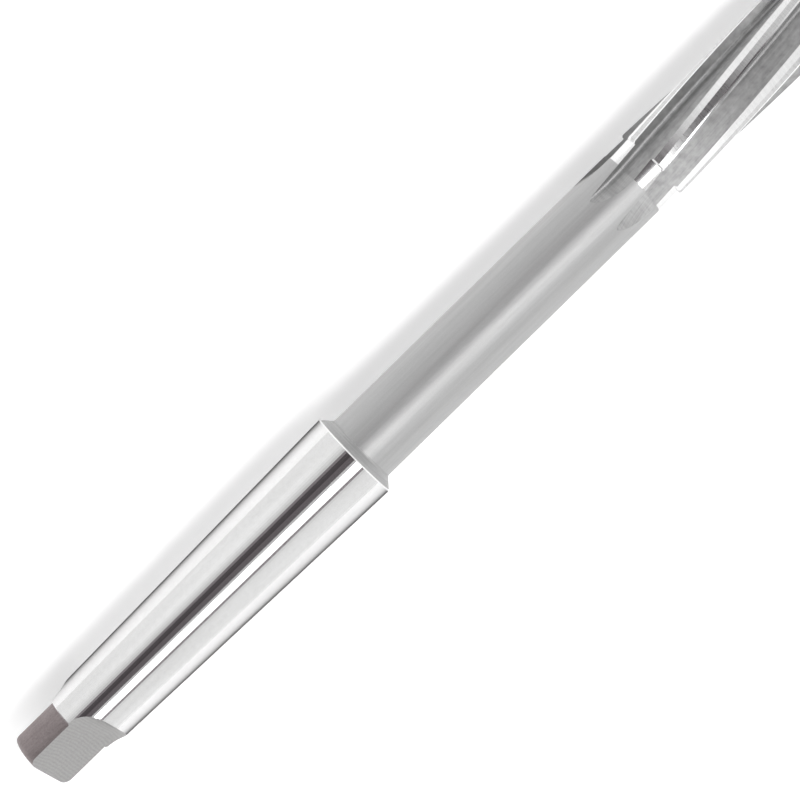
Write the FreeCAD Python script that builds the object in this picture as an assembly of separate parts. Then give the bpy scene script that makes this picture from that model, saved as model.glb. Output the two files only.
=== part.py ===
"""A 15 mm machine reamer with a Morse taper shank no. 2 and a tang, in millimetres.

The tool is one piece of steel. Its axis lies along +X, with the cutting end at +X and the tang at -X,
and +Z points up. The origin is on the axis, at the gauge plane of the taper. A clock angle is measured
about the axis from +Y towards +Z.
"""
import FreeCAD, Part
import math
import os

V = FreeCAD.Vector

# Morse taper shank no. 2
GAUGE_DIA = 17.78          # diameter at the gauge plane
TAPER = 1 / 20.02          # loss of diameter per millimetre of length
GAUGE_TO_RIM = 5.0         # the taper runs on past its gauge plane to the rim
SHANK_LENGTH = 80.0        # rim to the end of the tang
RIM_CHAMFER = 0.25

# tang
TANG_LENGTH = 10.0         # turned length, from the small end of the taper
TANG_DIA = 13.5
TANG_THICKNESS = 6.3       # across the two milled flats
TANG_MILL_RADIUS = 6.0     # the cutter leaves this radius at the root of each flat
TANG_MILL_END = 15.5       # where that radius runs out, from the end of the tang
TANG_END_ROUND = 1.6       # turned round on the end
TANG_CLOCK = 142.0         # clock angle of the normal of one flat
SMALL_END_CHAMFER = 0.3

# neck
NECK_DIA = 13.85
NECK_LENGTH = 74.5         # rim to the start of the teeth
SHOULDER_LENGTH = 1.6      # the cone that brings the rim down to the neck
SHOULDER_FILLET = 0.6      # at the foot of that cone
BAND_LENGTH = 4.7          # ground relief band just behind the teeth
BAND_DIA = 13.7

# cutting head
REAMER_DIA = 15.0
HEAD_LENGTH = 49.5
STEP_CHAMFER = 0.3         # at the back ends of the teeth
LEAD_CHAMFER = 1.5         # 45 degree lead at the front
HELIX_ANGLE = 7.0          # left-hand, for right-hand cutting
TOOTH_SPACING = (62.0833, 58.0334, 59.8833)   # unequal, and the same again on the other side
FIRST_EDGE_CLOCK = 108.5   # clock angle of the first cutting edge at the back end of the teeth

# lands, measured round from the cutting edge
MARGIN_WIDTH = 0.3         # round land at full diameter
PRIMARY_WIDTH = 1.15
PRIMARY_RELIEF = 7.0       # degrees below the tangent
SECONDARY_RELIEF = 22.0
SECONDARY_REACH = 2.0      # drawn past the heel, where the flute trims it

# flutes
CORE_DIA = 10.6
FLUTE_ROOT_RADIUS = 0.6
FLUTE_BACK_ANGLE = 5.5     # rise of the back of the flute, from square to the cutting face
FLUTE_RUNOUT = 13.3        # tip of the run-out, back from the teeth
WHEEL_RADIUS = 30.0        # the milling cutter that leaves the run-out
GRIND_STOCK = 0.1          # the finish grinding starts at the band and takes this much off the flute

# centre holes, 60 degrees
CENTRE_PILOT_DIA = 2.5
CENTRE_MOUTH_DIA = 5.3
CENTRE_DEPTH = 6.0
CENTRE_ANGLE = 60.0
DRILL_POINT_ANGLE = 118.0

# working values
OVERCUT = 1.5              # how far a cutting solid stands clear of the stock
SECTION_STEP = 4.0         # spacing of the sections of a helical sweep
MARGIN_OVERLAP = 1.0       # degrees that the land runs past the edge before the flute trims it

# stations along the axis
RIM_X = GAUGE_TO_RIM
TANG_END_X = RIM_X - SHANK_LENGTH
SMALL_END_X = TANG_END_X + TANG_LENGTH
HEAD_START_X = RIM_X + NECK_LENGTH
BAND_START_X = HEAD_START_X - BAND_LENGTH
FRONT_X = HEAD_START_X + HEAD_LENGTH
RUNOUT_TIP_X = HEAD_START_X - FLUTE_RUNOUT

# radii
REAMER_R = REAMER_DIA / 2
CORE_R = CORE_DIA / 2
NECK_R = NECK_DIA / 2
BAND_R = BAND_DIA / 2

TWIST = math.degrees(math.tan(math.radians(HELIX_ANGLE)) / REAMER_R)   # degrees per millimetre


def taper_radius(x):
    """Radius of the Morse taper at a station."""
    return GAUGE_DIA / 2 + x * TAPER / 2


def revolve(outline):
    """Solid of a closed outline of (x, r) points turned about the axis."""
    points = [V(x, r, 0) for x, r in outline]
    face = Part.Face(Part.makePolygon(points + points[:1]))
    return face.revolve(V(0, 0, 0), V(1, 0, 0), 360)


def turned_blank():
    """Shank, neck and band, turned in one, up to the start of the teeth."""
    small_r = taper_radius(SMALL_END_X)
    rim_r = taper_radius(RIM_X - RIM_CHAMFER)
    outline = [
        (TANG_END_X, 0),
        (TANG_END_X, TANG_DIA / 2),
        (SMALL_END_X, TANG_DIA / 2),
        (SMALL_END_X, small_r - SMALL_END_CHAMFER),
        (SMALL_END_X + SMALL_END_CHAMFER, taper_radius(SMALL_END_X + SMALL_END_CHAMFER)),
        (RIM_X - RIM_CHAMFER, rim_r),
        (RIM_X, rim_r - RIM_CHAMFER),
        (RIM_X + SHOULDER_LENGTH, NECK_R),
        (BAND_START_X, NECK_R),
        (BAND_START_X, BAND_R),
        (HEAD_START_X, BAND_R),
        (HEAD_START_X, 0),
    ]
    blank = revolve(outline)
    blank = fillet_circle(blank, TANG_END_X, TANG_DIA / 2, TANG_END_ROUND)
    return fillet_circle(blank, RIM_X + SHOULDER_LENGTH, NECK_R, SHOULDER_FILLET)


def fillet_circle(solid, x, r, radius):
    """Round the turned edge that lies at station x with radius r."""
    near = 0.001
    edges = []
    for edge in solid.Edges:
        if isinstance(edge.Curve, Part.Circle):
            if abs(edge.Curve.Center.x - x) < near and abs(edge.Curve.Radius - r) < near:
                edges.append(edge)
    return solid.makeFillet(radius, edges)


def tang_cut(side):
    """What milling takes off one side of the tang: a flat that ends in the cutter's radius."""
    half = TANG_THICKNESS / 2
    depth = taper_radius(TANG_END_X + TANG_MILL_END) - half
    reach = math.sqrt(TANG_MILL_RADIUS ** 2 - (TANG_MILL_RADIUS - depth) ** 2)
    arc_x = TANG_END_X + TANG_MILL_END - reach
    top = half + TANG_MILL_RADIUS
    start = V(TANG_END_X - OVERCUT, 0, half)
    foot = V(arc_x, 0, half)
    lean = math.radians(45)
    middle = V(arc_x + TANG_MILL_RADIUS * math.sin(lean), 0, top - TANG_MILL_RADIUS * math.cos(lean))
    end = V(arc_x + TANG_MILL_RADIUS, 0, top)
    corner = V(TANG_END_X - OVERCUT, 0, top)
    edges = [
        Part.makeLine(start, foot),
        Part.Arc(foot, middle, end).toShape(),
        Part.makeLine(end, corner),
        Part.makeLine(corner, start),
    ]
    width = GAUGE_DIA
    cut = Part.Face(Part.Wire(edges)).extrude(V(0, width, 0))
    cut.translate(V(0, -width / 2, 0))
    cut.rotate(V(0, 0, 0), V(1, 0, 0), side + TANG_CLOCK - 90)
    return cut


def centre_hole(end_x, inward):
    """A 60 degree centre with its pilot, drilled into an end face; inward is +1 or -1 along X."""
    pilot_r = CENTRE_PILOT_DIA / 2
    mouth_r = CENTRE_MOUTH_DIA / 2
    slope = math.tan(math.radians(CENTRE_ANGLE / 2))
    cone = (mouth_r - pilot_r) / slope
    point = pilot_r / math.tan(math.radians(DRILL_POINT_ANGLE / 2))
    outline = [
        (end_x - inward * OVERCUT, 0),
        (end_x - inward * OVERCUT, mouth_r + OVERCUT * slope),
        (end_x + inward * cone, pilot_r),
        (end_x + inward * CENTRE_DEPTH, pilot_r),
        (end_x + inward * (CENTRE_DEPTH + point), 0),
    ]
    return revolve(outline)


def stations(start, end):
    """Evenly spaced stations from start to end for a helical sweep."""
    count = max(2, math.ceil((end - start) / SECTION_STEP))
    return [start + (end - start) * i / count for i in range(count + 1)]


def place_section(wire, x, clock):
    """Put a section drawn in (tangent, radius) as (Y, Z) at its station, turned along the helix.

    The section's Z axis goes to the clock angle, less the left-hand twist at that station.
    """
    wire = wire.copy()
    wire.rotate(V(0, 0, 0), V(1, 0, 0), clock - 90 - TWIST * (x - HEAD_START_X))
    wire.translate(V(x, 0, 0))
    return wire


def flute_section(lift, stock):
    """Section of the flute, with the cutting face along Z and the flute on its -Y side.

    lift raises the whole form out of the steel, and stock leaves that much on the face and the back.
    """
    rise = math.radians(FLUTE_BACK_ANGLE)
    radius = FLUTE_ROOT_RADIUS
    centre_z = math.sqrt((CORE_R + radius) ** 2 - radius ** 2) + lift
    face_u = stock
    arc_u = face_u + radius
    arc_z = centre_z + stock
    top = REAMER_R + OVERCUT + lift
    face_top = V(0, -face_u, top)
    face_foot = V(0, -face_u, arc_z)
    turn = math.radians(180 + (90 + FLUTE_BACK_ANGLE) / 2)
    root = V(0, -(arc_u + radius * math.cos(turn)), arc_z + radius * math.sin(turn))
    back_foot_u = arc_u + radius * math.sin(rise)
    back_foot_z = arc_z - radius * math.cos(rise)
    back_length = REAMER_R
    back_end = V(0, -(back_foot_u + back_length * math.cos(rise)), back_foot_z + back_length * math.sin(rise))
    back_top = V(0, back_end.y, top)
    return Part.Wire([
        Part.makeLine(face_top, face_foot),
        Part.Arc(face_foot, root, V(0, -back_foot_u, back_foot_z)).toShape(),
        Part.makeLine(V(0, -back_foot_u, back_foot_z), back_end),
        Part.makeLine(back_end, back_top),
        Part.makeLine(back_top, face_top),
    ])


def wheel_lift(x):
    """How far the milling cutter has left the full depth of the flute at a station."""
    depth = NECK_R - CORE_R
    reach = math.sqrt(WHEEL_RADIUS ** 2 - (WHEEL_RADIUS - depth) ** 2)
    back = RUNOUT_TIP_X + reach - x
    if back <= 0:
        return 0
    return WHEEL_RADIUS - math.sqrt(WHEEL_RADIUS ** 2 - back ** 2)


def milled_flute(clock):
    """The flute as milled: from the run-out on the neck to just inside the ground stretch."""
    start = RUNOUT_TIP_X - 2 * OVERCUT
    end = BAND_START_X + OVERCUT
    xs = stations(start, end)
    return Part.makeLoft([place_section(flute_section(wheel_lift(x), GRIND_STOCK), x, clock) for x in xs], True)


def ground_flute(clock):
    """The flute as finish ground: from the band to past the front."""
    xs = stations(BAND_START_X, FRONT_X + OVERCUT)
    return Part.makeLoft([place_section(flute_section(wheel_lift(x), 0), x, clock) for x in xs], True)


def edge_clocks():
    """Clock angle of every cutting edge at the back end of the teeth, going round by the spacing."""
    clocks = []
    clock = FIRST_EDGE_CLOCK
    for spacing in TOOTH_SPACING * 2:
        clocks.append(clock)
        clock += spacing
    return clocks


def polar(r, clock):
    """Point of a section at a radius and a clock angle, before it is placed."""
    return V(0, r * math.cos(math.radians(clock)), r * math.sin(math.radians(clock)))


def land_points(edge, inset):
    """Corners of one land in the section: past the heel, end of primary, end of margin, edge, past the edge.

    The land lies behind its cutting edge, on the side of the smaller clock angle. inset lowers all of it.
    """
    edge_r = REAMER_R - inset
    margin_turn = math.degrees(MARGIN_WIDTH / REAMER_R)
    margin_end = polar(edge_r, edge - margin_turn)
    primary_end = margin_end + polar(PRIMARY_WIDTH, edge - margin_turn - 90 - PRIMARY_RELIEF)
    secondary_end = primary_end + polar(SECONDARY_REACH, edge - margin_turn - 90 - SECONDARY_RELIEF)
    return secondary_end, primary_end, margin_end, polar(edge_r, edge), polar(edge_r, edge + MARGIN_OVERLAP)


def head_section(inset):
    """Closed section of the lands all round; the hollows between them are left full for the flutes."""
    lands = [land_points(clock, inset) for clock in edge_clocks()]
    edges = []
    for i, land in enumerate(lands):
        secondary_end, primary_end, margin_end, edge, past_edge = land
        next_start = lands[(i + 1) % len(lands)][0]
        edges.append(Part.makeLine(secondary_end, primary_end))
        edges.append(Part.makeLine(primary_end, margin_end))
        edges.append(Part.Arc(margin_end, edge, past_edge).toShape())
        edges.append(Part.makeLine(past_edge, next_start))
    return Part.Wire(edges)


def head_stretch(start, start_inset, end, end_inset):
    """A stretch of the toothed head between two stations, with the lands lowered by an inset at each."""
    sections = []
    for x in stations(start, end):
        share = (x - start) / (end - start)
        section = head_section(start_inset + (end_inset - start_inset) * share)
        sections.append(place_section(section, x, 90))
    return Part.makeLoft(sections, True)


def toothed_head():
    """The cutting head with its relieved lands, before the flutes are cut.

    The lands start with a small chamfer and end in the 45 degree lead, which is relieved as they are.
    """
    lands_start = HEAD_START_X + STEP_CHAMFER
    lead_start = FRONT_X - LEAD_CHAMFER
    head = head_stretch(HEAD_START_X, STEP_CHAMFER, lands_start, 0)
    head = head.fuse(head_stretch(lands_start, 0, lead_start, 0))
    return head.fuse(head_stretch(lead_start, 0, FRONT_X, LEAD_CHAMFER))


def build_reamer():
    """The whole tool."""
    body = turned_blank().fuse(toothed_head())
    for clock in edge_clocks():
        body = body.cut(milled_flute(clock))
        body = body.cut(ground_flute(clock))
    for side in (0, 180):
        body = body.cut(tang_cut(side))
    body = body.cut(centre_hole(FRONT_X, -1))
    body = body.cut(centre_hole(TANG_END_X, 1))
    return body


def main():
    os.makedirs("parts", exist_ok=True)
    reamer = build_reamer()
    solids = reamer.Solids
    print("solids", len(solids), "valid", reamer.isValid(), "volume", round(reamer.Volume, 1))
    solids[0].exportStep("parts/machine_reamer.step")


main()
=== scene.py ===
"""A machine reamer with a Morse taper shank, finished in ground, polished and milled steel."""

import math

import bpy
from mathutils import Matrix, Vector


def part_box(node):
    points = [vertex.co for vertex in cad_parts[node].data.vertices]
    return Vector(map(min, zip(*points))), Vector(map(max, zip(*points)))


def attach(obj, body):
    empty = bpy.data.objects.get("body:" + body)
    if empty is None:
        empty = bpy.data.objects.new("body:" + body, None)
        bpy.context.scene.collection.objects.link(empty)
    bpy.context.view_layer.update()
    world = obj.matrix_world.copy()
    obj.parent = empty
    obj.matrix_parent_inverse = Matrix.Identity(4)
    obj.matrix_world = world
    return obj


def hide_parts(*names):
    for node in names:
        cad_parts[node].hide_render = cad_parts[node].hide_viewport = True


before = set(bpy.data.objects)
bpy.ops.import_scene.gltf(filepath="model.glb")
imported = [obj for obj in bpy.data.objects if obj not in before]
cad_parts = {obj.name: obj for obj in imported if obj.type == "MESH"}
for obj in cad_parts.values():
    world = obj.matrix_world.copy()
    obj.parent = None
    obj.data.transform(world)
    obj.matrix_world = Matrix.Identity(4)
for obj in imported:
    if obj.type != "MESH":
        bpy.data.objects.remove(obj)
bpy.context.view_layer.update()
NODE = "machine_reamer"
MM = 0.001

# ---------------------------------------------------------------- sizes of the tool, in millimetres
box_low, box_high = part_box(NODE)
TANG_END_X = box_low.x / MM
FRONT_X = box_high.x / MM
REACH = min(-box_low.y, box_high.y, -box_low.z, box_high.z) / MM   # the rim's radius, as the frame has it

GAUGE_R = 8.89
TAPER_SLOPE = 1 / 20.02 / 2
RIM_X = 5.0
RIM_CHAMFER = 0.25
SHOULDER_LENGTH = 1.6
SHOULDER_FILLET = 0.6

TANG_LENGTH = 10.0
TANG_R = 6.75
TANG_HALF = 3.15            # axis to each milled flat
TANG_MILL_RADIUS = 6.0
TANG_MILL_END = 15.5
TANG_END_ROUND = 1.6
TANG_CLOCK = 142.0
SMALL_END_CHAMFER = 0.3

NECK_R = 6.925
NECK_LENGTH = 74.5
BAND_LENGTH = 4.7
BAND_R = 6.85

REAMER_R = 7.5
STEP_CHAMFER = 0.3
LEAD_CHAMFER = 1.5
HELIX_ANGLE = 7.0
FIRST_EDGE_CLOCK = 108.5
TOOTH_SPACING = (62.0833, 58.0334, 59.8833)
MARGIN_WIDTH = 0.3
PRIMARY_WIDTH = 1.15
PRIMARY_RELIEF = 7.0
SECONDARY_RELIEF = 22.0
CORE_R = 5.3
ROOT_RADIUS = 0.6
BACK_ANGLE = 5.5
RUNOUT = 13.3
WHEEL_RADIUS = 30.0
GRIND_STOCK = 0.1

CENTRE_PILOT_R = 1.25
CENTRE_MOUTH_R = 2.65
CENTRE_DEPTH = 6.0
CENTRE_HALF_ANGLE = 30.0
DRILL_HALF_ANGLE = 59.0

SMALL_END_X = TANG_END_X + TANG_LENGTH
HEAD_X = RIM_X + NECK_LENGTH
BAND_X = HEAD_X - BAND_LENGTH
TIP_X = HEAD_X - RUNOUT
MILL_END_X = TANG_END_X + TANG_MILL_END
BLEND_START_X = 9.0         # between these the columns of the shank turn into those of the flutes
BLEND_END_X = 50.0
TWIST = math.degrees(math.tan(math.radians(HELIX_ANGLE)) / REAMER_R)

MERGE_DISTANCE = 1e-6       # metres; closes the seam and the poles
CREASE_ANGLE = 24.0         # edges that turn more than this stay crisp
CLEAR_OF_FLATS = 100.0      # added to the half thickness where the flats have ended

# columns of the skin, counted from a cutting edge down its flute and up to the next edge
FACE_TOP = 1
FACE = 4
ARC = 7
BACK = 7
BACK_TOP = 1
SECONDARY = 5
PRIMARY = 5
MARGIN = 3
TEETH = 6
FLUTE_END = FACE + ARC + BACK + BACK_TOP
PER_TOOTH = FLUTE_END + SECONDARY + PRIMARY + MARGIN
COLUMNS = TEETH * PER_TOOTH
FLAT_COLUMNS = 36           # on each flat of the tang

# kinds of row and of the strip that follows a row
TURNED, TOOTHED, INNER = 0, 1, 2
(S_END, S_TANG, S_SMALL_END, S_TAPER, S_RIM, S_SHOULDER,
 S_NECK, S_RUNOUT, S_BAND, S_STEP, S_HEAD, S_FRONT) = range(12)


# ---------------------------------------------------------------- arithmetic on node sockets
class Field:
    """A number that a node tree works out, used with the plain signs of arithmetic."""

    def __init__(self, tree, socket):
        self.tree = tree
        self.socket = socket

    def do(self, operation, *others):
        return calculate(self.tree, operation, self, *others)

    def __add__(self, other):
        return self.do("ADD", other)

    def __radd__(self, other):
        return self.do("ADD", other)

    def __sub__(self, other):
        return self.do("SUBTRACT", other)

    def __rsub__(self, other):
        return calculate(self.tree, "SUBTRACT", other, self)

    def __mul__(self, other):
        return self.do("MULTIPLY", other)

    def __rmul__(self, other):
        return self.do("MULTIPLY", other)

    def __truediv__(self, other):
        return self.do("DIVIDE", other)

    def __mod__(self, other):
        return self.do("FLOORED_MODULO", other)

    def __lt__(self, other):
        return self.do("LESS_THAN", other)

    def __gt__(self, other):
        return self.do("GREATER_THAN", other)

    def floor(self):
        return self.do("FLOOR")

    def sin(self):
        return self.do("SINE")

    def cos(self):
        return self.do("COSINE")

    def acos(self):
        return self.do("ARCCOSINE")

    def root(self):
        return self.do("SQRT")

    def size(self):
        return self.do("ABSOLUTE")

    def low(self, other):
        return self.do("MINIMUM", other)

    def high(self, other):
        return self.do("MAXIMUM", other)

    def pick(self, yes, no):
        """yes where this field is 1, no where it is 0."""
        return self * yes + (1 - self) * no

    def between(self, low, high):
        """0 at low and 1 at high, held at those ends."""
        return ((self - low) / (high - low)).high(0).low(1)


def calculate(tree, operation, *values):
    node = tree.nodes.new("ShaderNodeMath")
    node.operation = operation
    feed(tree, node, dict(enumerate(values)))
    return Field(tree, node.outputs[0])


def feed(tree, node, values):
    """Gives each named input of a node a field, a socket or a plain value."""
    for key, value in values.items():
        if isinstance(value, Field):
            value = value.socket
        if isinstance(value, bpy.types.NodeSocket):
            tree.links.new(value, node.inputs[key])
        else:
            node.inputs[key].default_value = value


def add_node(tree, kind, settings=None, **values):
    node = tree.nodes.new(kind)
    for name, value in (settings or {}).items():
        setattr(node, name, value)
    feed(tree, node, {name.replace("_", " "): value for name, value in values.items()})
    return node


def angle_of(tree, across, up):
    return calculate(tree, "ARCTAN2", across, up)


# ---------------------------------------------------------------- the turned outline
def spaced(start, end, count):
    """Stations after start, up to and with end."""
    return [start + (end - start) * (i + 1) / count for i in range(count)]


def taper_radius(x):
    return min(GAUGE_R + x * TAPER_SLOPE, REACH)


def mill_profile(count):
    """Stations where the cutter's radius climbs from the flat of the tang to the taper."""
    depth = GAUGE_R + MILL_END_X * TAPER_SLOPE - TANG_HALF
    sweep = math.acos(1 - depth / TANG_MILL_RADIUS)
    start = MILL_END_X - TANG_MILL_RADIUS * math.sin(sweep)
    return start, [start + TANG_MILL_RADIUS * math.sin(a) for a in spaced(0, sweep, count)]


def outline_rows():
    """Rows of the skin from one centre hole to the other: station, radius, inset of the lands, kind, strip."""
    rows = []

    def row(x, r, strip, kind=TURNED, inset=0.0):
        rows.append((x, r, inset, kind, strip))

    cone = (CENTRE_MOUTH_R - CENTRE_PILOT_R) / math.tan(math.radians(CENTRE_HALF_ANGLE))
    point = CENTRE_PILOT_R / math.tan(math.radians(DRILL_HALF_ANGLE))

    row(TANG_END_X + CENTRE_DEPTH + point, 0.0, S_END)
    row(TANG_END_X + CENTRE_DEPTH, CENTRE_PILOT_R, S_END)
    row(TANG_END_X + cone, CENTRE_PILOT_R, S_END)
    row(TANG_END_X, CENTRE_MOUTH_R, S_END)
    row(TANG_END_X, TANG_R - TANG_END_ROUND, S_TANG)
    for turn in spaced(0, math.pi / 2, 8):
        x = TANG_END_X + TANG_END_ROUND * (1 - math.cos(turn))
        row(x, TANG_R - TANG_END_ROUND * (1 - math.sin(turn)), S_TANG)
    for x in spaced(TANG_END_X + TANG_END_ROUND, SMALL_END_X, 10)[:-1]:
        row(x, TANG_R, S_TANG)
    row(SMALL_END_X, TANG_R, S_SMALL_END)
    row(SMALL_END_X, taper_radius(SMALL_END_X) - SMALL_END_CHAMFER, S_SMALL_END)
    chamfer_x = SMALL_END_X + SMALL_END_CHAMFER
    row(chamfer_x, taper_radius(chamfer_x), S_TAPER)
    mill_start, climb = mill_profile(22)
    for x in climb:
        if x > chamfer_x + 0.05:
            row(x, taper_radius(x), S_TAPER)
    for x in spaced(MILL_END_X, RIM_X - RIM_CHAMFER, 24)[:-1]:
        row(x, taper_radius(x), S_TAPER)
    row(RIM_X - RIM_CHAMFER, taper_radius(RIM_X), S_RIM)
    rim_foot = taper_radius(RIM_X) - RIM_CHAMFER
    row(RIM_X, rim_foot, S_SHOULDER)
    fall = math.atan2(rim_foot - NECK_R, SHOULDER_LENGTH)
    tangent = SHOULDER_FILLET * math.tan(fall / 2)
    foot_x = RIM_X + SHOULDER_LENGTH + tangent
    for turn in [fall * (1 - i / 6) for i in range(6)]:
        x = foot_x - SHOULDER_FILLET * math.sin(turn)
        row(x, NECK_R + SHOULDER_FILLET * (1 - math.cos(turn)), S_SHOULDER)
    row(foot_x, NECK_R, S_NECK)
    for x in spaced(foot_x, BLEND_END_X, 44) + spaced(BLEND_END_X, TIP_X, 8)[:-1]:
        row(x, NECK_R, S_NECK)
    for x in [TIP_X] + spaced(TIP_X, BAND_X, 34)[:-1]:
        row(x, NECK_R, S_RUNOUT)
    row(BAND_X, NECK_R, S_RUNOUT)
    row(BAND_X, BAND_R, S_BAND)
    for x in spaced(BAND_X, HEAD_X, 14)[:-1]:
        row(x, BAND_R, S_BAND)
    row(HEAD_X, BAND_R, S_STEP)
    row(HEAD_X, REAMER_R, S_HEAD, TOOTHED, STEP_CHAMFER)
    row(HEAD_X + STEP_CHAMFER, REAMER_R, S_HEAD, TOOTHED)
    for x in spaced(HEAD_X + STEP_CHAMFER, FRONT_X - LEAD_CHAMFER, 60):
        row(x, REAMER_R, S_HEAD, TOOTHED)
    for inset in spaced(0, LEAD_CHAMFER, 5):
        row(FRONT_X - LEAD_CHAMFER + inset, REAMER_R, S_HEAD, TOOTHED, inset)
    rows[-1] = rows[-1][:4] + (S_FRONT,)
    row(FRONT_X, CENTRE_MOUTH_R, S_FRONT, INNER, LEAD_CHAMFER)
    row(FRONT_X - cone, CENTRE_PILOT_R, S_FRONT, INNER, LEAD_CHAMFER)
    row(FRONT_X - CENTRE_DEPTH, CENTRE_PILOT_R, S_FRONT, INNER, LEAD_CHAMFER)
    row(FRONT_X - CENTRE_DEPTH - point, 0.0, S_FRONT, INNER, LEAD_CHAMFER)
    return rows, mill_start


def outline_object(rows):
    """The outline as a line of points that carry what each row of the skin needs."""
    mesh = bpy.data.meshes.new("turned_outline")
    points = [(x * MM, r * MM, 0) for x, r, inset, kind, strip in rows]
    mesh.from_pydata(points, [(i, i + 1) for i in range(len(rows) - 1)], [])
    names = ("station", "radius", "inset", "kind", "strip")
    for name, values in zip(names, zip(*rows)):
        mesh.attributes.new(name, "FLOAT", "POINT").data.foreach_set("value", [float(v) for v in values])
    outline = bpy.data.objects.new("reamer_steel", mesh)
    bpy.context.scene.collection.objects.link(outline)
    return outline


# ---------------------------------------------------------------- the skin, as a node tree
class Skin:
    """Builds the node tree that wraps a grid of rows and columns into the whole tool."""

    def __init__(self):
        self.tree = bpy.data.node_groups.new("reamer_skin", "GeometryNodeTree")
        self.tree.interface.new_socket("Outline", in_out="INPUT", socket_type="NodeSocketGeometry")
        self.tree.interface.new_socket("Steel", in_out="OUTPUT", socket_type="NodeSocketGeometry")
        self.inlet = self.tree.nodes.new("NodeGroupInput")
        self.sizes = {}

    def size(self, name, value):
        """A named input of the tree; angles come in degrees and are used in radians."""
        socket = self.tree.interface.new_socket(name, in_out="INPUT", socket_type="NodeSocketFloat")
        self.sizes[socket.identifier] = float(value)
        field = Field(self.tree, self.inlet.outputs[name])
        return field * (math.pi / 180) if name.endswith("angle") or name.endswith("clock") else field

    def attribute(self, name):
        node = add_node(self.tree, "GeometryNodeInputNamedAttribute", {"data_type": "FLOAT"}, Name=name)
        return Field(self.tree, node.outputs["Attribute"])

    def from_row(self, name, row):
        """The outline's value of that name at a row."""
        node = add_node(self.tree, "GeometryNodeSampleIndex", {"data_type": "FLOAT", "domain": "POINT"})
        feed(self.tree, node, {"Geometry": self.inlet.outputs["Outline"], "Value": self.attribute(name),
                               "Index": row})
        return Field(self.tree, node.outputs["Value"])

    def store(self, geometry, name, value, domain, kind="FLOAT"):
        node = add_node(self.tree, "GeometryNodeStoreNamedAttribute", {"data_type": kind, "domain": domain},
                        Geometry=geometry, Name=name, Value=value)
        return node.outputs["Geometry"]


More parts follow.
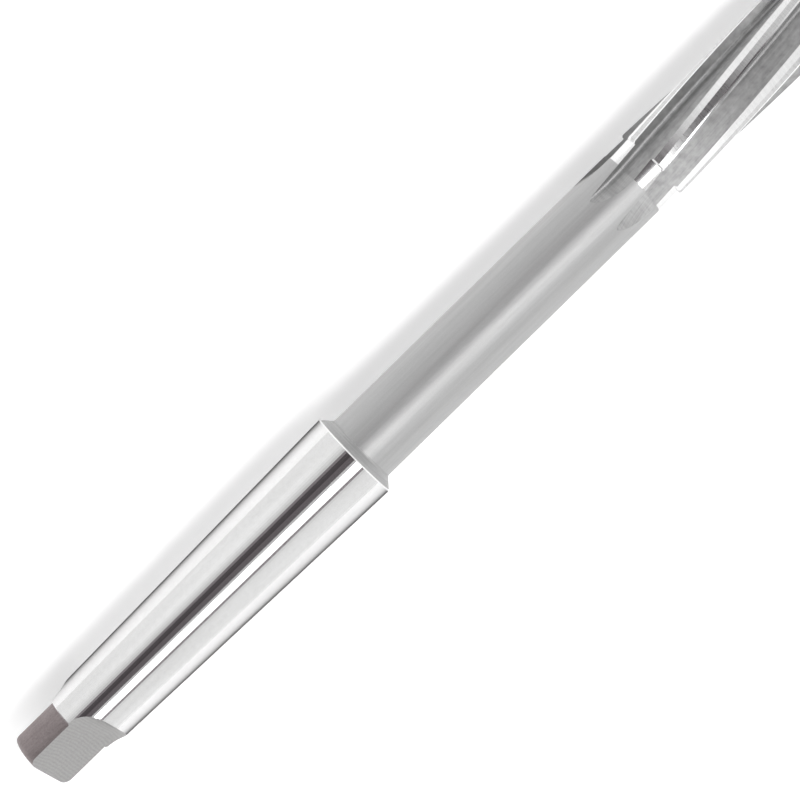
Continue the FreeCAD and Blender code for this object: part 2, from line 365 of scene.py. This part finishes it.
def flute_columns(skin, column, x, r, inset, toothed, spacing):
    """Point of the fluted section in the frame of its cutting edge: across towards the flute, and up.

    Turned rows carry a plain circle with the flute cut into it, and toothed rows the relieved lands.
    """
    tree = skin.tree
    stock_size = skin.size("Grind stock", GRIND_STOCK)
    core_r = skin.size("Core radius", CORE_R)
    rho = skin.size("Flute root radius", ROOT_RADIUS)
    rise = skin.size("Flute back angle", BACK_ANGLE)
    wheel = skin.size("Wheel radius", WHEEL_RADIUS)
    neck_r = skin.size("Neck radius", NECK_R)
    band_r = skin.size("Band radius", BAND_R)
    band_x = skin.size("Band start", BAND_X)
    tip_x = skin.size("Run-out tip", TIP_X)
    margin = skin.size("Margin width", MARGIN_WIDTH) / REAMER_R
    primary = skin.size("Primary width", PRIMARY_WIDTH)
    primary_lean = skin.size("Primary relief angle", PRIMARY_RELIEF)
    secondary_lean = skin.size("Secondary relief angle", SECONDARY_RELIEF)

    # how far the milling cutter has left the full depth
    depth = neck_r - core_r
    reach = (wheel * wheel - (wheel - depth) * (wheel - depth)).root()
    back = (tip_x + reach - x).high(0).low(reach)
    lift = wheel - (wheel * wheel - back * back).root()
    stock = (x < band_x - 0.001).pick(stock_size, 0)
    at_band = (1 - toothed) * (x - band_x).size().do("LESS_THAN", 0.001) * (r > neck_r - 0.01)
    stock = at_band.pick(stock_size, stock)

    # root arc: its centre, and the line of the back of the flute
    centre_u = stock + rho
    centre_z = ((core_r + rho) * (core_r + rho) - rho * rho).root() + stock + lift
    sin_b, cos_b = rise.sin(), rise.cos()
    plane = centre_z * cos_b - centre_u * sin_b - rho
    centre_q = centre_u * cos_b + centre_z * sin_b

    # where the arc itself leaves a turned radius
    distance = (centre_u * centre_u + centre_z * centre_z).root()
    open_half = ((distance * distance + r * r - rho * rho) / (2 * distance * r)).low(1).acos()
    bearing = angle_of(tree, centre_u, centre_z)
    near_u, near_z = r * (bearing - open_half).sin(), r * (bearing - open_half).cos()
    far_u, far_z = r * (bearing + open_half).sin(), r * (bearing + open_half).cos()

    # the land of the next tooth
    land_r = skin.size("Reamer radius", REAMER_R) - inset
    margin_at = spacing - margin
    margin_u, margin_z = land_r * margin_at.sin(), land_r * margin_at.cos()
    primary_way = margin_at - primary_lean - math.pi / 2
    primary_u = margin_u + primary * primary_way.sin()
    primary_z = margin_z + primary * primary_way.cos()
    way = margin_at - secondary_lean - math.pi / 2
    way_u, way_z = way.sin(), way.cos()
    travel = (plane - primary_z * cos_b + primary_u * sin_b) / (way_z * cos_b - way_u * sin_b)
    heel_u, heel_z = primary_u + travel * way_u, primary_z + travel * way_z

    # top of the cutting face
    face_open = toothed.high(1 - (centre_z > (r * r - stock * stock).root()))
    top_z = toothed.pick(land_r, (r * r - stock * stock).root())
    a_u, a_z = face_open.pick(stock, near_u), face_open.pick(top_z, near_z)
    shelf_z = (band_r * band_r - stock * stock).root()
    shelf_z = face_open.pick(toothed.pick(top_z.low(shelf_z), top_z), near_z)
    b_z = face_open.pick(centre_z, near_z)
    arc_start = face_open.pick(math.pi, angle_of(tree, near_z - centre_z, near_u - centre_u) + 2 * math.pi)

    # top of the back
    turned_q = (r * r - plane * plane).root()
    back_open = toothed.high(1 - (centre_q > turned_q))
    heel_q = heel_u * cos_b + heel_z * sin_b
    end_q = toothed.pick(heel_q, turned_q)
    shelf_q = toothed.pick(end_q.low((band_r * band_r - plane * plane).root()), end_q)
    e_u = back_open.pick(end_q * cos_b - plane * sin_b, far_u)
    e_z = back_open.pick(end_q * sin_b + plane * cos_b, far_z)
    arc_end = back_open.pick(rise + 1.5 * math.pi,
                             angle_of(tree, far_z - centre_z, far_u - centre_u) + 2 * math.pi)

    # the columns in their order
    def share(first, count):
        return (column - first).high(0).low(count) / count

    top_share = share(0, FACE_TOP)
    face_share = share(FACE_TOP, FACE - FACE_TOP)
    arc_share = share(FACE, ARC)
    back_share = share(FACE + ARC, BACK)
    heel_share = share(FACE + ARC + BACK, BACK_TOP)
    land_share = share(FLUTE_END, PER_TOOTH - FLUTE_END)
    secondary_share = share(FLUTE_END, SECONDARY)
    primary_share = share(FLUTE_END + SECONDARY, PRIMARY)
    margin_share = share(FLUTE_END + SECONDARY + PRIMARY, MARGIN)

    on_face = column < FACE + 0.5
    on_arc = (column < FACE + ARC - 0.5) * (1 - on_face)
    on_flute = column < FLUTE_END + 0.5
    face_z = a_z + (shelf_z - a_z) * top_share + (b_z - shelf_z) * face_share
    arc_turn = arc_start + (arc_end - arc_start) * arc_share
    arc_u = centre_u + rho * arc_turn.cos()
    arc_z = centre_z + rho * arc_turn.sin()
    line_q = centre_q + (shelf_q - centre_q) * back_share + (end_q - shelf_q) * heel_share
    line_u = back_open.pick(line_q * cos_b - plane * sin_b, far_u)
    line_z = back_open.pick(line_q * sin_b + plane * cos_b, far_z)

    flute_u = on_face.pick(a_u, on_arc.pick(arc_u, line_u))
    flute_z = on_face.pick(face_z, on_arc.pick(arc_z, line_z))

    # lands: relieved on the teeth, round on the turned rows
    relieved_u = heel_u + (primary_u - heel_u) * secondary_share + (margin_u - primary_u) * primary_share
    relieved_z = heel_z + (primary_z - heel_z) * secondary_share + (margin_z - primary_z) * primary_share
    on_margin = column > FLUTE_END + SECONDARY + PRIMARY - 0.5
    margin_turn = margin_at + margin * margin_share
    relieved_u = on_margin.pick(land_r * margin_turn.sin(), relieved_u)
    relieved_z = on_margin.pick(land_r * margin_turn.cos(), relieved_z)
    start_turn, end_turn = angle_of(tree, e_u, e_z), spacing + angle_of(tree, a_u, a_z)
    round_turn = start_turn + (end_turn - start_turn) * land_share
    land_u = toothed.pick(relieved_u, r * round_turn.sin())
    land_z = toothed.pick(relieved_z, r * round_turn.cos())

    u = on_flute.pick(flute_u, land_u)
    z = on_flute.pick(flute_z, land_z)
    point_r = (u * u + z * z).root()
    return toothed.pick(point_r, point_r.low(r)), angle_of(tree, u, z)


def tang_columns(skin, column, r, half):
    """Clock angle of a column on the tang and shank.

    The columns of a flat run from corner to corner. Those of a side stand at fixed angles, and wait at the
    corner while the flat reaches past them, so that they run straight along the taper.
    """
    turn = skin.size("Tang clock", TANG_CLOCK)
    half_columns = COLUMNS / 2
    place = column % half_columns
    side = (column / half_columns).floor()
    corner = (half / r).low(1).acos()
    on_flat = corner * (place / FLAT_COLUMNS * 2 - 1)
    on_side = math.pi * (place - FLAT_COLUMNS) / (half_columns - FLAT_COLUMNS)
    on_side = on_side.high(corner).low(math.pi - corner)
    return turn + side * math.pi + (place < FLAT_COLUMNS).pick(on_flat, on_side), turn


def skin_tree(rows, mill_start, finishes):
    """The whole tree: grid, wrapping, zones, merging of seams and poles, sharp edges and materials."""
    skin = Skin()
    tree = skin.tree
    row_count = len(rows)
    grid = add_node(tree, "GeometryNodeMeshGrid", None, Size_X=1.0, Size_Y=1.0,
                    Vertices_X=COLUMNS + 1, Vertices_Y=row_count)
    index = Field(tree, add_node(tree, "GeometryNodeInputIndex").outputs[0])
    geometry = skin.store(grid.outputs["Mesh"], "row", index % row_count, "POINT")
    geometry = skin.store(geometry, "column", (index / row_count).floor(), "POINT")
    row, column = skin.attribute("row"), skin.attribute("column")
    x = skin.from_row("station", row)
    r = skin.from_row("radius", row)
    inset = skin.from_row("inset", row)
    kind = skin.from_row("kind", row)
    toothed = kind > TURNED + 0.5
    inner = kind > TOOTHED + 0.5

    # cutting edges, unequally spaced, the same on both sides
    tooth = (column / PER_TOOTH).floor()
    place = column % PER_TOOTH
    first = skin.size("First edge clock", FIRST_EDGE_CLOCK)
    spaces = [skin.size(f"Spacing {i + 1} angle", s) for i, s in enumerate(TOOTH_SPACING)]
    third = tooth % 3
    spacing = (third < 0.5).pick(spaces[0], (third < 1.5).pick(spaces[1], spaces[2]))
    passed = (third > 0.5) * spaces[0] + (third > 1.5) * spaces[1] + (tooth / 3).floor() * math.pi
    twist = skin.size("Twist per mm angle", TWIST)
    turned_back = twist * (x.high(TIP_X) - HEAD_X)
    section_r, section_turn = flute_columns(skin, place, x, r.high(0.01), inset, toothed, spacing)
    fluted_turn = first + passed + section_turn

    # tang
    mill_r = skin.size("Tang cutter radius", TANG_MILL_RADIUS)
    climb = (x - mill_start).high(0).low(mill_r * 0.999)
    half = skin.size("Tang half thickness", TANG_HALF) + mill_r - (mill_r * mill_r - climb * climb).root()
    half = half + (x > MILL_END_X - 0.001) * CLEAR_OF_FLATS
    tang_turn, tang_clock = tang_columns(skin, column, r.high(0.01), half)
    tang_weight = 1 - x.between(BLEND_START_X, BLEND_END_X)
    tang_weight = tang_weight * tang_weight * (3 - 2 * tang_weight)
    turn = fluted_turn - turned_back
    turn = turn + (tang_turn - turn) * tang_weight
    flat_r = half / (turn - tang_clock).cos().size().high(0.01)
    radius = inner.pick(r, toothed.pick(section_r, section_r.low(r))).low(flat_r)
    radius = (tang_weight > 0.999).pick(r.low(flat_r), radius)

    place_node = add_node(tree, "ShaderNodeCombineXYZ", None, X=x * MM, Y=radius * turn.cos() * MM,
                          Z=radius * turn.sin() * MM)
    moved = add_node(tree, "GeometryNodeSetPosition", None, Geometry=geometry, Position=place_node.outputs[0])

    # a map that follows the helix: along the tool and round it, in metres
    lay = add_node(tree, "ShaderNodeCombineXYZ", None, X=x * MM, Y=(turn + turned_back) * (REAMER_R * MM))
    geometry = skin.store(moved.outputs["Geometry"], "UVMap", lay.outputs[0], "CORNER", "FLOAT2")

    # edges that stay crisp although they are shallow
    ridge_at = (FLUTE_END + SECONDARY, FLUTE_END + SECONDARY + PRIMARY)
    ridge = sum(((place - at).size() < 0.1) * toothed for at in ridge_at)
    geometry = skin.store(geometry, "ridge", ridge, "POINT")

    # zones, one for each finish
    strip = skin.from_row("strip", row.floor())
    tooth_place = (column.floor() % PER_TOOTH)
    in_flute = tooth_place < FLUTE_END - 0.5
    half_place = column.floor() % (COLUMNS / 2)
    on_flat = half_place < FLAT_COLUMNS - 0.5
    zone = zone_of(skin, strip, tooth_place, in_flute, on_flat)
    geometry = skin.store(geometry, "zone", zone, "FACE")

    merged = add_node(tree, "GeometryNodeMergeByDistance", None, Geometry=geometry, Distance=MERGE_DISTANCE)
    angle = Field(tree, add_node(tree, "GeometryNodeInputMeshEdgeAngle").outputs["Unsigned Angle"])
    sharp = (angle > math.radians(CREASE_ANGLE)).high(skin.attribute("ridge") > 0.99)
    smooth = add_node(tree, "GeometryNodeSetShadeSmooth", {"domain": "EDGE"},
                      Geometry=merged.outputs["Geometry"], Shade_Smooth=1 - sharp)
    geometry = add_node(tree, "GeometryNodeRealizeInstances", None,
                        Geometry=smooth.outputs["Geometry"]).outputs["Geometry"]
    for number, finish in enumerate(finishes):
        chosen = (skin.attribute("zone") - number).size() < 0.5
        geometry = add_node(tree, "GeometryNodeSetMaterial", None, Geometry=geometry, Selection=chosen,
                            Material=finish).outputs["Geometry"]
    outlet = tree.nodes.new("NodeGroupOutput")
    tree.links.new(geometry, outlet.inputs["Steel"])
    return skin


(Z_END, Z_FLAT, Z_SIDE, Z_TAPER, Z_EDGE, Z_SHOULDER, Z_NECK, Z_MILLED, Z_BAND, Z_GROUND_FLUTE,
 Z_MARGIN, Z_PRIMARY, Z_SECONDARY) = range(13)


def zone_of(skin, strip, tooth_place, in_flute, on_flat):
    """Number of the finish of a face, from its strip along the tool and its place round it."""
    def is_strip(number):
        return (strip - number).size() < 0.5

    on_land = (tooth_place > FLUTE_END + SECONDARY + PRIMARY - 0.5).pick(
        Z_MARGIN, (tooth_place > FLUTE_END + SECONDARY - 0.5).pick(Z_PRIMARY, Z_SECONDARY))
    tapering = is_strip(S_TAPER)
    beside_mill = (skin.attribute("row") < mill_end_row) * on_flat
    zone = is_strip(S_TANG) * on_flat.pick(Z_FLAT, Z_SIDE)
    zone = zone + is_strip(S_SMALL_END) * on_flat.pick(Z_FLAT, Z_EDGE)
    zone = zone + tapering * beside_mill.pick(Z_FLAT, Z_TAPER)
    zone = zone + is_strip(S_RIM) * Z_EDGE
    zone = zone + is_strip(S_SHOULDER) * Z_SHOULDER
    zone = zone + is_strip(S_NECK) * Z_NECK
    zone = zone + is_strip(S_RUNOUT) * in_flute.pick(Z_MILLED, Z_NECK)
    zone = zone + is_strip(S_BAND) * in_flute.pick(Z_GROUND_FLUTE, Z_BAND)
    zone = zone + is_strip(S_STEP) * Z_BAND
    zone = zone + is_strip(S_HEAD) * in_flute.pick(Z_GROUND_FLUTE, on_land)
    zone = zone + is_strip(S_FRONT) * Z_END
    return zone


# ---------------------------------------------------------------- finishes
class Finish:
    """A steel finish: one metal shader with room for patterns on its colour, roughness and height."""

    def __init__(self, name, colour, roughness):
        self.material = bpy.data.materials.new(name)
        self.material.use_nodes = True
        self.tree = self.material.node_tree
        self.shader = self.tree.nodes["Principled BSDF"]
        self.shader.inputs["Metallic"].default_value = 1.0
        self.shader.inputs["Base Color"].default_value = (*colour, 1)
        self.shader.inputs["Roughness"].default_value = roughness
        self.coords = self.tree.nodes.new("ShaderNodeTexCoord")

    def at(self, scale, source="Object"):
        """Coordinates stretched by a scale for each axis."""
        node = add_node(self.tree, "ShaderNodeMapping", None, Vector=self.coords.outputs[source], Scale=scale)
        return node.outputs[0]

    def noise(self, vector, detail=2.0, roughness=0.5):
        node = add_node(self.tree, "ShaderNodeTexNoise", None, Vector=vector, Scale=1.0, Detail=detail,
                        Roughness=roughness)
        return Field(self.tree, node.outputs["Fac"])

    def ramp(self, value, low, high):
        """The value stretched so that low gives 0 and high gives 1."""
        return value.between(low, high)

    def colours(self, factor, first, second):
        node = add_node(self.tree, "ShaderNodeMix", {"data_type": "RGBA"})
        feed(self.tree, node, {"Factor": factor, 6: (*first, 1), 7: (*second, 1)})
        self.tree.links.new(node.outputs[2], self.shader.inputs["Base Color"])

    def roughness(self, field):
        feed(self.tree, self.shader, {"Roughness": field})

    def outward(self):
        """The direction straight out from the tool's axis."""
        node = add_node(self.tree, "ShaderNodeVectorMath", {"operation": "NORMALIZE"})
        feed(self.tree, node, {0: self.at((0, 1, 1))})
        return node.outputs[0]

    def height(self, *layers, normal=None):
        """Bumps from (height field, depth in metres), laid one on another."""
        for field, depth in layers:
            node = add_node(self.tree, "ShaderNodeBump", None, Height=field, Strength=1.0, Distance=depth)
            if normal is not None:
                self.tree.links.new(normal, node.inputs["Normal"])
            normal = node.outputs[0]
        self.tree.links.new(normal, self.shader.inputs["Normal"])


def grey(value, warmth=0.0):
    return (value * (1 + warmth), value, value * (1 - warmth))


PAINTED_RIM_SHADE_TINT = 0.1             # tint of the reflection where the taper is seen at a glancing angle, kept dark as painted shade along its outer edges


def polished_taper():
    f = Finish("polished_taper", grey(0.80), 0.09)
    # the reflection is tinted dark at glancing angles: painted shade on the taper's outer edges
    f.shader.inputs["Specular Tint"].default_value = (*grey(PAINTED_RIM_SHADE_TINT), 1)
    rings = f.noise(f.at((9000, 60, 60)), 3, 0.6)
    drift = f.noise(f.at((25, 300, 300)), 2)
    spots = f.noise(f.at((900, 900, 900)), 4, 0.7)
    f.colours(f.ramp(drift * 0.6 + spots * 0.4, 0.3, 0.7), grey(0.74, 0.004), grey(0.84))
    f.roughness(0.06 + 0.07 * f.ramp(rings, 0.3, 0.7))
    f.height((rings, 0.0000006), (drift, 0.000012))
    return f.material


def turned_edge():
    f = Finish("turned_edge", grey(0.86), 0.16)
    rings = f.noise(f.at((12000, 200, 200)), 2)
    f.colours(rings, grey(0.78), grey(0.9))
    f.height((rings, 0.000002))
    return f.material


def turned_shoulder():
    f = Finish("turned_shoulder", grey(0.3), 0.5)
    rings = f.noise(f.at((8000, 150, 150)), 3)
    grain = f.noise(f.at((4000, 4000, 4000)), 3)
    f.colours(f.ramp(rings * 0.6 + grain * 0.4, 0.35, 0.65), grey(0.36), grey(0.5))
    f.roughness(0.42 + 0.2 * grain)
    f.height((rings, 0.000004), (grain, 0.000003))
    return f.material


def satin_neck():
    f = Finish("satin_neck", grey(0.6), 0.5)
    lines = f.noise(f.at((45, 1500, 1500)), 4, 0.6)
    waves = f.noise(f.at((30, 420, 420)), 2)
    grain = f.noise(f.at((5200, 6500, 6500)), 3, 0.65)
    f.colours(f.ramp(lines * 0.5 + grain * 0.5, 0.3, 0.7), grey(0.42), grey(0.52))
    f.roughness(0.46 + 0.10 * grain)
    f.height((waves, 0.000008), (lines, 0.000003), (grain, 0.000008), normal=f.outward())
    return f.material


def ground_band():
    f = Finish("ground_band", grey(0.85), 0.2)
    rings = f.noise(f.at((7000, 120, 120)), 3)
    f.colours(rings, grey(0.76), grey(0.9))
    f.roughness(0.16 + 0.1 * rings)
    f.height((rings, 0.000002))
    return f.material


def ground_land(name, low, high, roughness):
    f = Finish(name, grey(high), roughness)
    lines = f.noise(f.at((60, 9000, 9000), "UV"), 3)
    across = f.noise(f.at((2600, 260, 0), "UV"), 2)
    f.colours(f.ramp(lines * 0.5 + across * 0.5, 0.3, 0.7), grey(low), grey(high))
    f.roughness(roughness + 0.08 * across)
    f.height((lines, 0.0000015), (across, 0.0000012))
    return f.material


def ground_flute():
    f = Finish("ground_flute", grey(0.5), 0.3)
    lines = f.noise(f.at((80, 5200, 0), "UV"), 4, 0.65)
    streaks = f.noise(f.at((45, 900, 0), "UV"), 3)
    mottle = f.noise(f.at((700, 900, 900)), 4, 0.6)
    f.colours(f.ramp(lines * 0.3 + streaks * 0.3 + mottle * 0.4, 0.34, 0.66), grey(0.27), grey(0.52))
    f.roughness(0.50 + 0.10 * lines)
    f.height((streaks, 0.00001), (lines, 0.000004), (mottle, 0.00001))
    return f.material


def milled_flute():
    f = Finish("milled_flute", grey(0.5), 0.32)
    marks = f.noise(f.at((1500, 240, 0), "UV"), 3)
    lines = f.noise(f.at((120, 4200, 0), "UV"), 3)
    f.colours(f.ramp(marks * 0.5 + lines * 0.5, 0.3, 0.7), grey(0.28), grey(0.5))
    f.roughness(0.40 + 0.14 * lines)
    f.height((marks, 0.00001), (lines, 0.000005))
    return f.material


SPINDLE_REACH = 22.0        # mm; the cutter's axis stood this far past the end of the tang


def milled_flat():
    f = Finish("milled_tang_flat", grey(0.42), 0.42)
    turn = math.radians(TANG_CLOCK)
    parts = add_node(f.tree, "ShaderNodeSeparateXYZ", None, Vector=f.coords.outputs["Object"])
    x, y, z = (Field(f.tree, parts.outputs[i]) for i in range(3))
    across = y * -math.sin(turn) + z * math.cos(turn)
    along = x - (TANG_END_X - SPINDLE_REACH) * MM
    from_spindle = (along * along + across * across).root()
    wobble = f.noise(f.at((160, 160, 160)), 2)
    arcs = (from_spindle * 9500 + wobble * 14).sin() * 0.5 + 0.5
    grain = f.noise(f.at((2600, 2600, 2600)), 4, 0.7)
    f.colours(f.ramp(arcs * 0.15 + grain * 0.85, 0.25, 0.75), grey(0.3, 0.01), grey(0.42, 0.01))
    f.roughness(0.36 + 0.16 * grain)
    f.height((arcs, 0.0000012), (grain, 0.000006))
    return f.material


def tang_side():
    f = Finish("dark_tang_side", grey(0.22, 0.05), 0.45)
    lines = f.noise(f.at((300, 2600, 2600)), 4, 0.6)
    grain = f.noise(f.at((3000, 3000, 3000)), 4, 0.7)
    f.colours(f.ramp(lines * 0.4 + grain * 0.6, 0.3, 0.7), (0.2, 0.17, 0.17), (0.33, 0.29, 0.29))
    f.roughness(0.38 + 0.16 * grain)
    f.height((lines, 0.000004), (grain, 0.000007))
    return f.material


def turned_end():
    f = Finish("turned_end_face", grey(0.6), 0.3)
    parts = add_node(f.tree, "ShaderNodeSeparateXYZ", None, Vector=f.coords.outputs["Object"])
    y, z = Field(f.tree, parts.outputs[1]), Field(f.tree, parts.outputs[2])
    rings = ((y * y + z * z).root() * 24000).sin() * 0.5 + 0.5
    grain = f.noise(f.at((2600, 2600, 2600)), 3)
    f.colours(f.ramp(rings * 0.4 + grain * 0.6, 0.2, 0.8), grey(0.48), grey(0.66))
    f.height((rings, 0.000003), (grain, 0.000003))
    return f.material


def finishes():
    """Finishes in the order of the zones."""
    return [
        turned_end(),
        milled_flat(),
        tang_side(),
        polished_taper(),
        turned_edge(),
        turned_shoulder(),
        satin_neck(),
        milled_flute(),
        ground_band(),
        ground_flute(),
        ground_land("ground_margin", 0.86, 0.94, 0.14),
        ground_land("ground_primary_land", 0.5, 0.64, 0.24),
        ground_land("ground_secondary_land", 0.8, 0.92, 0.2),
    ]


# ---------------------------------------------------------------- building the tool
rows, mill_start = outline_rows()
mill_end_row = next(i for i, r in enumerate(rows) if abs(r[0] - MILL_END_X) < 1e-6)


def build_reamer():
    outline = outline_object(rows)
    skin = skin_tree(rows, mill_start, finishes())
    modifier = outline.modifiers.new("skin", "NODES")
    modifier.node_group = skin.tree
    for identifier, value in skin.sizes.items():
        modifier[identifier] = value
    depsgraph = bpy.context.evaluated_depsgraph_get()
    mesh = bpy.data.meshes.new_from_object(outline.evaluated_get(depsgraph), depsgraph=depsgraph)
    outline.modifiers.clear()
    outline.data = mesh
    for name in ("row", "column", "ridge", "zone"):
        attribute = mesh.attributes.get(name)
        if attribute is not None:
            mesh.attributes.remove(attribute)
    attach(outline, "root")
    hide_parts(NODE)
    return outline


# ---------------------------------------------------------------- floor, light and camera
TABLE_HALF = 2.0            # metres
TABLE_WHITE = 0.86
TABLE_GLOW = 0.31           # added for the camera and for what metal and glass show of the table


def floor():
    """A wide white table, which keeps the tool's shadow."""
    size = TABLE_HALF
    z = box_low.z
    mesh = bpy.data.meshes.new("table_top")
    corners = [(-size, -size, z), (size, -size, z), (size, size, z), (-size, size, z)]
    mesh.from_pydata(corners, [], [(0, 1, 2, 3)])
    table = bpy.data.objects.new("table_top", mesh)
    bpy.context.scene.collection.objects.link(table)
    material = bpy.data.materials.new("white_table")
    material.use_nodes = True
    tree = material.node_tree
    tree.nodes.clear()
    matte = add_node(tree, "ShaderNodeBsdfDiffuse", None, Color=(*grey(TABLE_WHITE), 1))
    glow = add_node(tree, "ShaderNodeEmission", None, Color=(1, 1, 1, 1), Strength=TABLE_GLOW)
    path = tree.nodes.new("ShaderNodeLightPath")
    dark = add_node(tree, "ShaderNodeEmission", None, Strength=0.0)
    seen = add_node(tree, "ShaderNodeMixShader")
    shown = Field(tree, path.outputs["Is Camera Ray"]).high(Field(tree, path.outputs["Is Glossy Ray"]))
    shown = shown.high(Field(tree, path.outputs["Is Transmission Ray"]))
    feed(tree, seen, {0: shown})
    tree.links.new(dark.outputs[0], seen.inputs[1])
    tree.links.new(glow.outputs[0], seen.inputs[2])
    both = tree.nodes.new("ShaderNodeAddShader")
    tree.links.new(matte.outputs[0], both.inputs[0])
    tree.links.new(seen.outputs[0], both.inputs[1])
    outlet = tree.nodes.new("ShaderNodeOutputMaterial")
    tree.links.new(both.outputs[0], outlet.inputs["Surface"])
    mesh.materials.append(material)


# brightness of the room round the tool's axis: degrees from straight up towards -Y, and level
ROOM = (
    (-90, 0.78), (-81, 0.84), (-72, 0.92), (-63, 0.95), (-54, 0.98), (-46, 1.03), (-39, 0.95), (-31, 0.8),
    (-25, 0.68), (-22, 0.6), (-20, 0.25), (-16.5, 0.09), (-8, 0.07), (-3.5, 0.075), (-1.5, 0.17), (0.5, 0.1),
    (6.5, 0.12), (10, 0.4), (12.5, 0.75), (14.5, 1.2), (16, 2.2), (20, 6.0), (25, 6.0), (28, 2.0), (32, 1.05),
    (34.5, 0.22), (37, 0.26), (39.5, 0.75), (46, 0.88), (60, 0.92), (90, 0.88),
)


HORIZON_LEVEL = 0.97
HORIZON_START = 0.42        # the room is plain below this height on a ball of radius 1,
HORIZON_END = 0.26          # fully so from here down
DARK_LEVEL = 0.3            # darker parts of the room than this are a little warm
DARK_WARMTH = 0.06


def room_light():
    """Soft light from all round, with a bright panel, two dark strips and a plain horizon."""
    world = bpy.data.worlds.new("studio")
    world.use_nodes = True
    bpy.context.scene.world = world
    tree = world.node_tree
    tree.nodes.clear()
    coords = tree.nodes.new("ShaderNodeTexCoord")
    parts = add_node(tree, "ShaderNodeSeparateXYZ", None, Vector=coords.outputs["Generated"])
    y, z = Field(tree, parts.outputs[1]), Field(tree, parts.outputs[2])
    turn = angle_of(tree, y * -1, z) / math.pi * 180
    ramp = tree.nodes.new("ShaderNodeValToRGB")
    stops = ramp.color_ramp.elements
    first, last = ROOM[0][0], ROOM[-1][0]
    feed(tree, ramp, {"Fac": turn.between(first, last)})
    stops[0].position, stops[1].position = 0.0, 1.0
    for i, (degrees, level) in enumerate(ROOM):
        place = (degrees - first) / (last - first)
        if i == 0:
            stop = stops[0]
        elif i == len(ROOM) - 1:
            stop = stops[len(stops) - 1]
        else:
            stop = stops.new(place)
        warm = DARK_WARMTH if level < DARK_LEVEL else 0.0
        stop.color = (level * (1 + warm), level * (1 - warm), level, 1)
    room = add_node(tree, "ShaderNodeBackground", None, Color=ramp.outputs["Color"], Strength=1.0)
    plain = add_node(tree, "ShaderNodeBackground", None, Color=(*grey(HORIZON_LEVEL), 1), Strength=1.0)
    seen = tree.nodes.new("ShaderNodeMixShader")
    feed(tree, seen, {0: 1 - z.size().between(HORIZON_END, HORIZON_START)})
    tree.links.new(room.outputs[0], seen.inputs[1])
    tree.links.new(plain.outputs[0], seen.inputs[2])
    outlet = tree.nodes.new("ShaderNodeOutputWorld")
    tree.links.new(seen.outputs[0], outlet.inputs["Surface"])


LENS = 110.9
CAMERA_PLACE = (RIM_X + 21.6, 1.34, 444.6)     # mm
CAMERA_BACK = (0.02, 0.0, 1.0)
CAMERA_UP = (0.6997, 0.7145, 0.0)


def camera():
    """Looks down on the tool, which lies across the view from corner to corner."""
    data = bpy.data.cameras.new("camera")
    data.lens = LENS
    data.clip_end = 20
    holder = bpy.data.objects.new("camera", data)
    bpy.context.scene.collection.objects.link(holder)
    back = Vector(CAMERA_BACK).normalized()
    up = Vector(CAMERA_UP)
    right = up.cross(back).normalized()
    up = back.cross(right)
    place = Vector(CAMERA_PLACE) * MM
    holder.matrix_world = Matrix((
        (right.x, up.x, back.x, place.x),
        (right.y, up.y, back.y, place.y),
        (right.z, up.z, back.z, place.z),
        (0, 0, 0, 1),
    ))
    bpy.context.scene.camera = holder


build_reamer()
floor()
room_light()
camera()
bpy.context.scene.view_settings.view_transform = "Standard"
